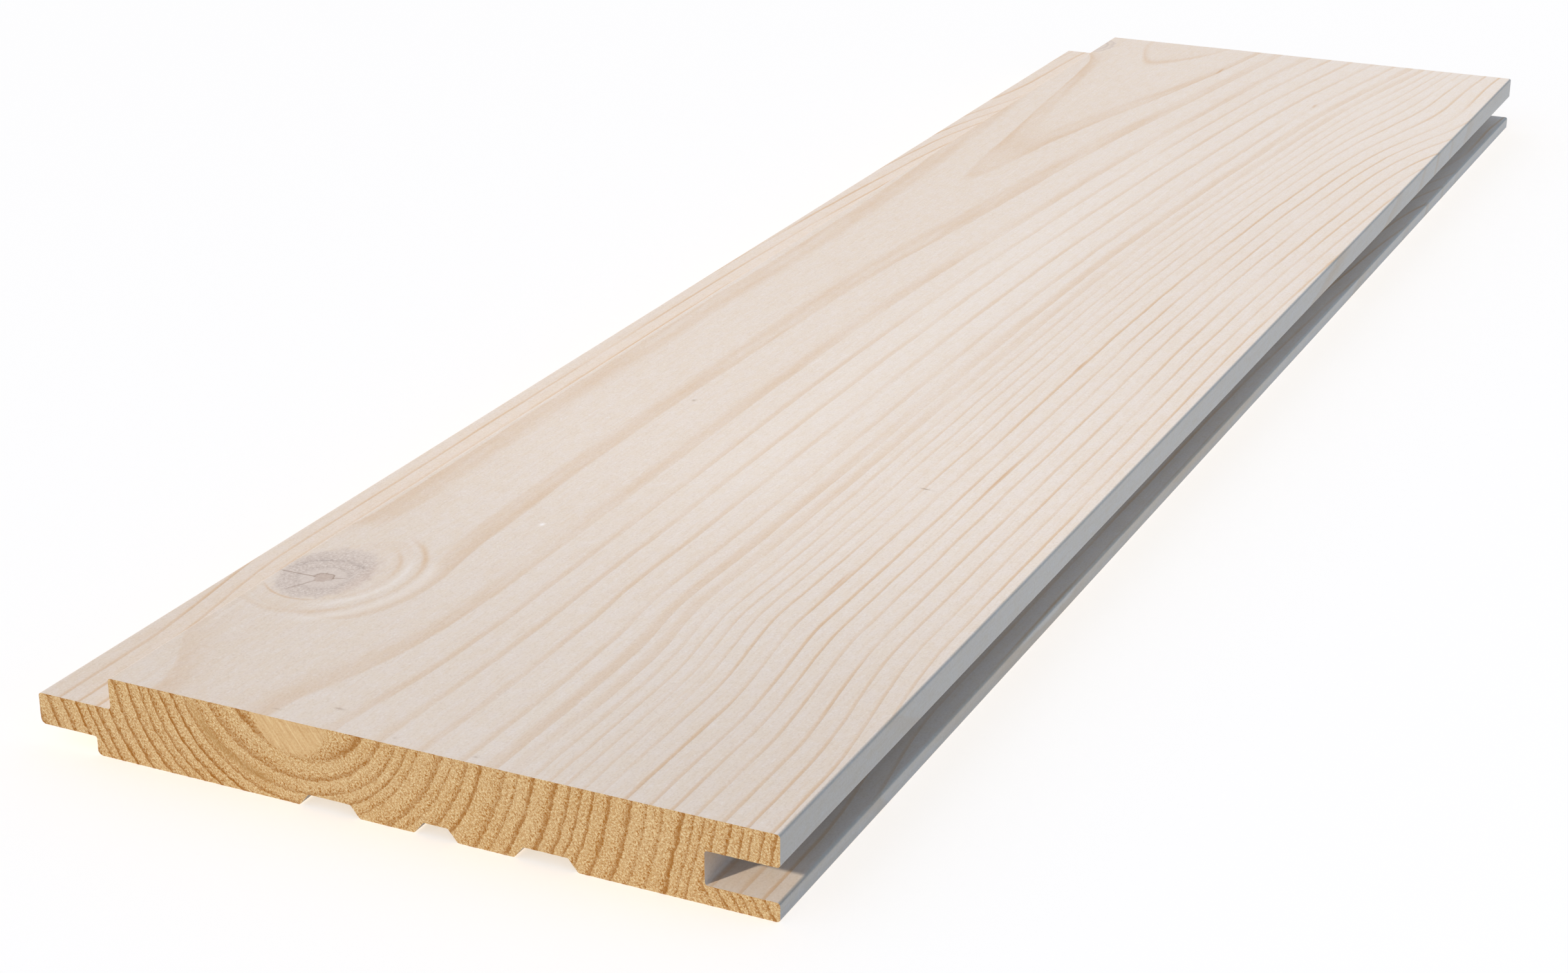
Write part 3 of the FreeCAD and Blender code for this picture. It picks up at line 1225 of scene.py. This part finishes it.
@dataclass
class Board:
    """The board: one length of pine with a tongue, a groove, a shadow gap and relief channels.

    Attributes:
        node: the CAD node that it stands for.
        body: the body that it rides on.
        slices: how many lengths the long faces are cut into.
        end_pitch: the grid of the sawn ends.
        knot_pitch: the grid of the knot.
        knot_room: how far the knot's grid reaches past its rim.
        sharp: the angle past which an edge is left sharp.
        flat: the angle below which the CAD mesh's faces are joined.
        merge: how close two corners of the CAD mesh are merged.
        snap: how close to a corner a cut goes through it.
        level: how far off the show face a point still counts as on it.
        margin: the empty rim of the bake's sheet, as a part of the board's length.
        near_end: the rings of the near end.
        far_end: the rings of the far end.
        knot: the knot in the show face.
    """

    node: str = "board"
    body: str = "root"
    slices: int = 31
    end_pitch: float = 0.30 * MM
    knot_pitch: float = 0.25 * MM
    knot_room: float = 1.2 * MM
    sharp: float = math.radians(40.0)
    flat: float = math.radians(0.2)
    merge: float = 0.002 * MM
    snap: float = 0.02 * MM
    level: float = 0.01 * MM
    margin: float = 0.004
    near_end: EndFigure = EndFigure()
    far_end: EndFigure = EndFigure(pith_across=-11.0, pith_height=21.5, seed=31.0)
    knot: Knot = Knot()

    def __post_init__(self) -> None:
        """Takes the board's box from the CAD node."""
        self.low, self.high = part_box(self.node)

    def build(self) -> bpy.types.Object:
        """Makes the board's mesh from a copy of the CAD node's own skin.

        Returns:
            The board, in its place.
        """
        mesh = bmesh.new()
        mesh.from_mesh(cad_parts[self.node].data)
        bmesh.ops.remove_doubles(mesh, verts=mesh.verts, dist=self.merge)
        bmesh.ops.dissolve_limit(mesh, angle_limit=self.flat, verts=mesh.verts, edges=mesh.edges)
        section = Section.of_face(self.ends(mesh, End.NEAR)[0])
        section.number(mesh)
        self.cut_lengths(mesh)
        self.cut_knot(mesh)
        for end in End:
            self.cut_end(mesh, end)
        crowded = [face for face in mesh.faces if len(face.verts) > 4]
        bmesh.ops.triangulate(mesh, faces=crowded)
        self.unroll(mesh, section)
        for end, figure in ((End.NEAR, self.near_end), (End.FAR, self.far_end)):
            self.tear_end(mesh, end, figure)
        self.sink_knot(mesh)
        self.mark_edges(mesh)
        data = bpy.data.meshes.new("board_wood")
        mesh.to_mesh(data)
        mesh.free()
        piece = bpy.data.objects.new("board_wood", data)
        bpy.context.scene.collection.objects.link(piece)
        even = piece.modifiers.new("even_faces", "WEIGHTED_NORMAL")
        even.keep_sharp = True
        even.weight = 100
        return piece

    def ends(self, mesh: bmesh.types.BMesh, end: End) -> list[bmesh.types.BMFace]:
        """The faces of one sawn end."""
        return [face for face in mesh.faces if face.normal.y * end.value > FACING]

    def cut_lengths(self, mesh: bmesh.types.BMesh) -> None:
        """Cuts the long faces into even lengths.

        Args:
            mesh: the board's mesh.
        """
        full = self.high.y - self.low.y
        long_edges = [edge for edge in mesh.edges if edge.calc_length() > 0.9 * full]
        bmesh.ops.subdivide_edges(mesh, edges=long_edges, cuts=self.slices - 1, use_grid_fill=True)

    def cut_grid(
        self, mesh: bmesh.types.BMesh, faces: list[bmesh.types.BMFace], cuts: Iterable[tuple[Vector, Vector]]
    ) -> list[bmesh.types.BMFace]:
        """Cuts flat faces along planes.

        Args:
            mesh: the board's mesh.
            faces: the faces.
            cuts: a point and a normal of each plane.

        Returns:
            All the faces that they have become.
        """
        edges = {edge for face in faces for edge in face.edges}
        verts = {vert for face in faces for vert in face.verts}
        geometry = [*verts, *edges, *faces]
        for point, normal in cuts:
            cut = bmesh.ops.bisect_plane(mesh, geom=geometry, dist=self.snap, plane_co=point, plane_no=normal)
            geometry = cut["geom"]
        return [part for part in geometry if isinstance(part, bmesh.types.BMFace)]

    def planes(self, axis: Vector, start: float, end: float, pitch: float) -> list[tuple[Vector, Vector]]:
        """Evenly spaced planes between two places.

        Args:
            axis: the direction along which they follow each other.
            start: the first place.
            end: the last place.
            pitch: about how far apart they are.

        Returns:
            A point and a normal of each plane between the two places.
        """
        count = max(1, round((end - start) / pitch))
        step = (end - start) / count
        return [(axis * (start + step * number), axis) for number in range(1, count)]

    def cut_end(self, mesh: bmesh.types.BMesh, end: End) -> None:
        """Cuts a sawn end into a fine grid.

        Args:
            mesh: the board's mesh.
            end: which end.
        """
        upright = self.planes(Vector((1, 0, 0)), self.low.x, self.high.x, self.end_pitch)
        level = self.planes(Vector((0, 0, 1)), self.low.z, self.high.z, self.end_pitch)
        self.cut_grid(mesh, self.ends(mesh, end), upright + level)

    def knot_box(self) -> tuple[float, float, float, float]:
        """Finds the knot's patch of the show face.

        Returns:
            Its lowest and highest place across, then along.
        """
        across, along = self.knot.across * MM, self.low.y + self.knot.along * MM
        wide = self.knot.half_width * MM + self.knot_room
        long = self.knot.half_length * MM + self.knot_room
        return max(across - wide, self.low.x), across + wide, along - long, along + long

    def knot_faces(self, mesh: bmesh.types.BMesh) -> list[bmesh.types.BMFace]:
        """Finds the parts of the show face that reach into the knot's patch.

        Args:
            mesh: the board's mesh.

        Returns:
            The faces.
        """
        left, right, near, far = self.knot_box()
        found = []
        for face in mesh.faces:
            if face.normal.z < 0.999 or face.calc_center_median().z < self.high.z - self.level:
                continue
            xs, ys = ([vert.co[axis] for vert in face.verts] for axis in (0, 1))
            inside = max(xs) > left + self.merge and min(xs) < right - self.merge
            within = max(ys) > near + self.merge and min(ys) < far - self.merge
            if inside and within:
                found.append(face)
        return found

    def cut_knot(self, mesh: bmesh.types.BMesh) -> None:
        """Cuts the show face into a fine grid round the knot.

        Args:
            mesh: the board's mesh.
        """
        left, right, near, far = self.knot_box()
        side, length = Vector((1, 0, 0)), Vector((0, 1, 0))
        for place, axis in ((near, length), (far, length), (left, side), (right, side)):
            self.cut_grid(mesh, self.knot_faces(mesh), [(axis * place, axis)])
        grid = self.planes(side, left, right, self.knot_pitch)
        grid += self.planes(length, near, far, self.knot_pitch)
        self.cut_grid(mesh, self.knot_faces(mesh), grid)

    def unroll(self, mesh: bmesh.types.BMesh, section: Section) -> None:
        """Unrolls the long faces into one sheet and lays the two ends above it.

        Args:
            mesh: the board's mesh.
            section: the board's section.
        """
        sheet = mesh.loops.layers.uv.new("OFBake")
        mark = mesh.faces.layers.int["run"]
        length = self.high.y - self.low.y
        width = self.high.x - self.low.x
        rim = self.margin * length
        page = length + 2.0 * rim
        enlarged = length / width * 0.98
        for face in mesh.faces:
            if face.material_index == Slot.SAWN.value:
                row = 0 if face.normal.y < 0.0 else 1
                base = section.whole() + 4.0 * rim + row * (self.high.z * enlarged + 2.0 * rim)
                for loop in face.loops:
                    across = (loop.vert.co.x - self.low.x) * enlarged + rim
                    up = (loop.vert.co.z - self.low.z) * enlarged + base
                    loop[sheet].uv = (across / page, up / page)
                continue
            number = face[mark]
            start = section.corners[number]
            for loop in face.loops:
                co = loop.vert.co
                gone = section.before[number] + (Vector((co.x, co.z)) - start).length
                loop[sheet].uv = ((co.y - self.low.y + rim) / page, (gone + rim) / page)
        mesh.faces.layers.int.remove(mark)

    def tear_end(self, mesh: bmesh.types.BMesh, end: End, figure: EndFigure) -> None:
        """Roughens a sawn end as the saw left it, and stores its rings on it.

        Args:
            mesh: the board's mesh.
            end: which end.
            figure: its rings.
        """
        names = ("ring", "weight", "smooth", "dense", "rim")
        for name in names:
            if name not in mesh.verts.layers.float:
                mesh.verts.layers.float.new(name)
        ring, weight, smooth, dense, rim = (mesh.verts.layers.float[name] for name in names)
        sawn = [face for face in mesh.faces if face.material_index == Slot.SAWN.value]
        torn = [face for face in sawn if face.normal.y * end.value > 0.0]
        for vert in {vert for face in torn for vert in face.verts}:
            across, height = vert.co.x / MM, vert.co.z / MM
            vert[ring], vert[weight] = figure.ring(across, height)
            vert[smooth] = figure.smooth(across, height)
            vert[dense] = figure.dense(across, height)
            vert[rim] = figure.rim(across, height)
            even = max(vert[smooth], 0.8 * vert[dense])
            vert.co.y -= end.value * figure.depth(across, height, vert[ring] % 1.0, even) * MM

    def sink_knot(self, mesh: bmesh.types.BMesh) -> None:
        """Sinks the knot's dish and its drying cracks into the show face.

        Args:
            mesh: the board's mesh.
        """
        left, right, near, far = self.knot_box()
        for vert in mesh.verts:
            co = vert.co
            if co.z > self.high.z - self.level and left < co.x < right and near < co.y < far:
                co.z -= self.knot.depth(co.x / MM, (co.y - self.low.y) / MM) * MM

    def mark_edges(self, mesh: bmesh.types.BMesh) -> None:
        """Shades the mesh smooth, with its rims and hard corners left sharp.

        Args:
            mesh: the board's mesh.
        """
        mesh.normal_update()
        for face in mesh.faces:
            face.smooth = True
        for edge in mesh.edges:
            finishes = {face.material_index for face in edge.link_faces}
            torn = finishes == {Slot.SAWN.value}
            edge.smooth = torn or (len(finishes) == 1 and edge.calc_face_angle(0.0) < self.sharp)

    def dress(self, piece: bpy.types.Object) -> None:
        """Puts the finishes on the board and lets it stand for its CAD node.

        Args:
            piece: the board.
        """
        glazed = GlazedPine(half_length=-self.low.y, thickness=self.high.z, knot=self.knot)
        for finish in (glazed, SawnPine()):
            piece.data.materials.append(finish.material())
        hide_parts(self.node)
        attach(piece, self.body)


@dataclass(frozen=True)
class PaleFloor:
    """The matt paint of the studio's plain pale floor.

    Attributes:
        white: its colour.
        roughness: how matt it is.
    """

    white: Colour = (0.942, 0.955, 0.982)
    roughness: float = 0.9

    def material(self) -> bpy.types.Material:
        """Makes the paint.

        Returns:
            The material.
        """
        graph = Graph("pale_floor")
        graph.feed(graph.surface.inputs["Base Color"], self.white)
        graph.gloss(self.roughness, 0.0)
        return graph.material


@dataclass
class Studio:
    """The floor, the lights and the camera.

    Attributes:
        floor_reach: how far the floor goes.
        key_way: the way that the key light travels.
        key_power: how strong it is.
        key_tint: its colour.
        key_spread: how wide its source looks, in degrees.
        box_place: where the soft box beside the groove hangs.
        box_size: its width and height.
        box_power: how strong it is.
        box_tint: its colour.
        sky: the colour of the soft light from all round.
        lens: the camera's focal length in millimetres.
        sensor: how wide its sensor is, in millimetres.
        turn: how far the camera stands round from the near end, in radians.
        rise: how far it looks down, in radians.
        roll: how far it leans, in radians.
        distance: how far it stands from the point that it looks at.
        aim: that point.
    """

    floor_reach: float = 12.0
    key_way: Vector = field(default_factory=lambda: Vector((0.83, 1.53, -1.0)))
    key_power: float = 4.06
    key_tint: Colour = (1.0, 0.866, 0.69)
    key_spread: float = 3.0
    box_place: Vector = field(default_factory=lambda: Vector((0.95, -0.25, 0.22)))
    box_size: tuple[float, float] = (1.4, 0.5)
    box_power: float = 1.0
    box_tint: Colour = (0.50, 0.72, 1.0)
    sky: Colour = (0.40, 0.468, 0.56)
    lens: float = 65.54
    sensor: float = 36.0
    turn: float = 0.4443
    rise: float = 0.3898
    roll: float = -0.0012
    distance: float = 0.510678
    aim: Vector = field(default_factory=lambda: Vector((-0.003883, -0.081436, 0.0)))

    def build(self) -> None:
        """Sets the whole studio up."""
        floor = self.lay_floor()
        self.hang_key(floor)
        self.hang_fill()
        self.stand_camera()

    def lay_floor(self) -> bpy.types.Object:
        """Lays the floor that the board lies on.

        Returns:
            The floor.
        """
        mesh = bmesh.new()
        bmesh.ops.create_circle(mesh, cap_ends=True, segments=96, radius=self.floor_reach)
        data = bpy.data.meshes.new("floor")
        mesh.to_mesh(data)
        mesh.free()
        floor = bpy.data.objects.new("floor", data)
        data.materials.append(PaleFloor().material())
        bpy.context.scene.collection.objects.link(floor)
        return floor

    def hang_key(self, floor: bpy.types.Object) -> None:
        """Hangs the key light twice: once for the board, and once for the floor, where it casts no shadows.

        Args:
            floor: the floor.
        """
        lamp = bpy.data.lights.new("key", "SUN")
        lamp.energy = self.key_power
        lamp.angle = math.radians(self.key_spread)
        lamp.color = self.key_tint
        for name, state in (("key", "EXCLUDE"), ("floor_key", "INCLUDE")):
            lit = bpy.data.collections.new(name)
            lit.objects.link(floor)
            lit.collection_objects[0].light_linking.link_state = state
            key = bpy.data.objects.new(name, lamp)
            key.rotation_euler = self.key_way.to_track_quat("-Z", "Y").to_euler()
            key.light_linking.receiver_collection = lit
            if state == "INCLUDE":
                key.light_linking.blocker_collection = lit
            bpy.context.scene.collection.objects.link(key)

    def hang_fill(self) -> None:
        """Hangs the soft box, and fills the room with soft light."""
        panel = bpy.data.lights.new("soft_box", "AREA")
        panel.shape = "RECTANGLE"
        panel.size, panel.size_y = self.box_size
        panel.energy = self.box_power
        panel.color = self.box_tint
        box = bpy.data.objects.new("soft_box", panel)
        box.location = self.box_place
        box.rotation_euler = (-self.box_place).to_track_quat("-Z", "Y").to_euler()
        bpy.context.scene.collection.objects.link(box)
        world = bpy.data.worlds.new("room")
        world.use_nodes = True
        world.node_tree.nodes["Background"].inputs["Color"].default_value = (*self.sky, 1.0)
        bpy.context.scene.world = world

    def stand_camera(self) -> None:
        """Stands the camera where the photograph was taken from."""
        level, lift = math.cos(self.rise), math.sin(self.rise)
        back = Vector((math.sin(self.turn) * level, -math.cos(self.turn) * level, lift))
        lens = bpy.data.cameras.new("camera")
        lens.sensor_fit = "HORIZONTAL"
        lens.sensor_width = self.sensor
        lens.lens = self.lens
        lens.clip_start = 0.01
        camera = bpy.data.objects.new("camera", lens)
        camera.location = self.aim + back * self.distance
        right = Vector((math.cos(self.turn), math.sin(self.turn), 0.0))
        stance = Matrix((right, back.cross(right), back)).transposed()
        camera.rotation_euler = (Matrix.Rotation(self.roll, 3, back) @ stance).to_euler()
        bpy.context.scene.collection.objects.link(camera)
        bpy.context.scene.camera = camera
        bpy.context.scene.view_settings.view_transform = "Standard"


def main() -> None:
    """Builds the studio and the board, and reports each."""
    logging.basicConfig(level=logging.INFO, format="%(message)s")
    Studio().build()
    LOG.info("studio: floor, key light, soft fill and camera")
    board = Board()
    piece = board.build()
    board.dress(piece)
    piece.data.calc_loop_triangles()
    triangles, finishes = len(piece.data.loop_triangles), list(piece.data.materials.keys())
    LOG.info("%s: %d triangles, finishes %s", piece.name, triangles, finishes)


if __name__ == "__main__":
    main()
